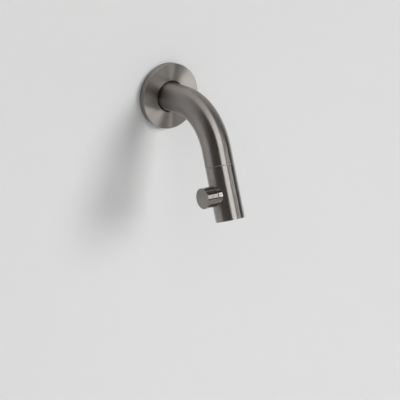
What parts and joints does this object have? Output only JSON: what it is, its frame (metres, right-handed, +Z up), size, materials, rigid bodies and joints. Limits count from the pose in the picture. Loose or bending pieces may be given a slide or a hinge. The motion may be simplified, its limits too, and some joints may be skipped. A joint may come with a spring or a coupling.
{
  "type": "wall-mounted basin tap",
  "caption": "Small wall-mounted tap: round rosette, bent round spout, quarter-turn valve knob on the side of its end, aerator in the outlet.",
  "frame": {"origin": "where the axis of the spout's straight run meets the finished wall, the plane of the rosette's back rim", "axes": "+Y into the wall along the inlet, +Z up, the knob on the -X side"},
  "size_m": [0.055, 0.1182, 0.1179],
  "materials": {
    "gunmetal": "stainless steel, brushed, with a dark gunmetal vapour coating",
    "steel": "plain stainless steel, turned",
    "brass": "turned, uncoated",
    "ceramic": "lapped alumina ceramic",
    "fibre": "red-brown sealing fibre",
    "rubber": "black sealing rubber",
    "plastic": "black moulded acetal"
  },
  "bodies": {
    "spout": {"spout_pipe": "gunmetal", "pipe_socket": "steel", "spout_grub_screw": "steel", "wall_nipple": "brass", "inlet_gasket": "fibre", "nipple_o_rings": "rubber", "head_connector": "steel", "connector_o_ring": "rubber", "valve_head": "gunmetal", "cartridge_body": "brass", "cartridge_o_ring": "rubber", "cartridge_seal": "rubber", "fixed_disc": "ceramic", "knob_glide_ring": "plastic", "aerator_housing": "plastic", "aerator_seal": "rubber", "aerator_screen": "steel", "aerator_jet_disc": "plastic", "aerator_grid": "plastic"},
    "rosette": {"wall_rosette": "gunmetal", "rosette_o_ring": "rubber"},
    "handle": {"knob": "gunmetal", "knob_grub_screw": "steel", "spindle": "brass", "spindle_o_rings": "rubber", "spindle_clip": "steel", "moving_disc": "ceramic"}
  },
  "joints": [
    {"name": "knob_turn", "type": "hinge", "parent": "spout", "child": "handle", "pos_m": [0, -0.08095, -0.06616], "axis": [-1, 0, 0], "range_deg": [0, 90]},
    {"name": "rosette_slide", "type": "slide", "parent": "spout", "child": "rosette", "axis": [0, -1, 0], "range_m": [0, 0.015]}
  ]
}
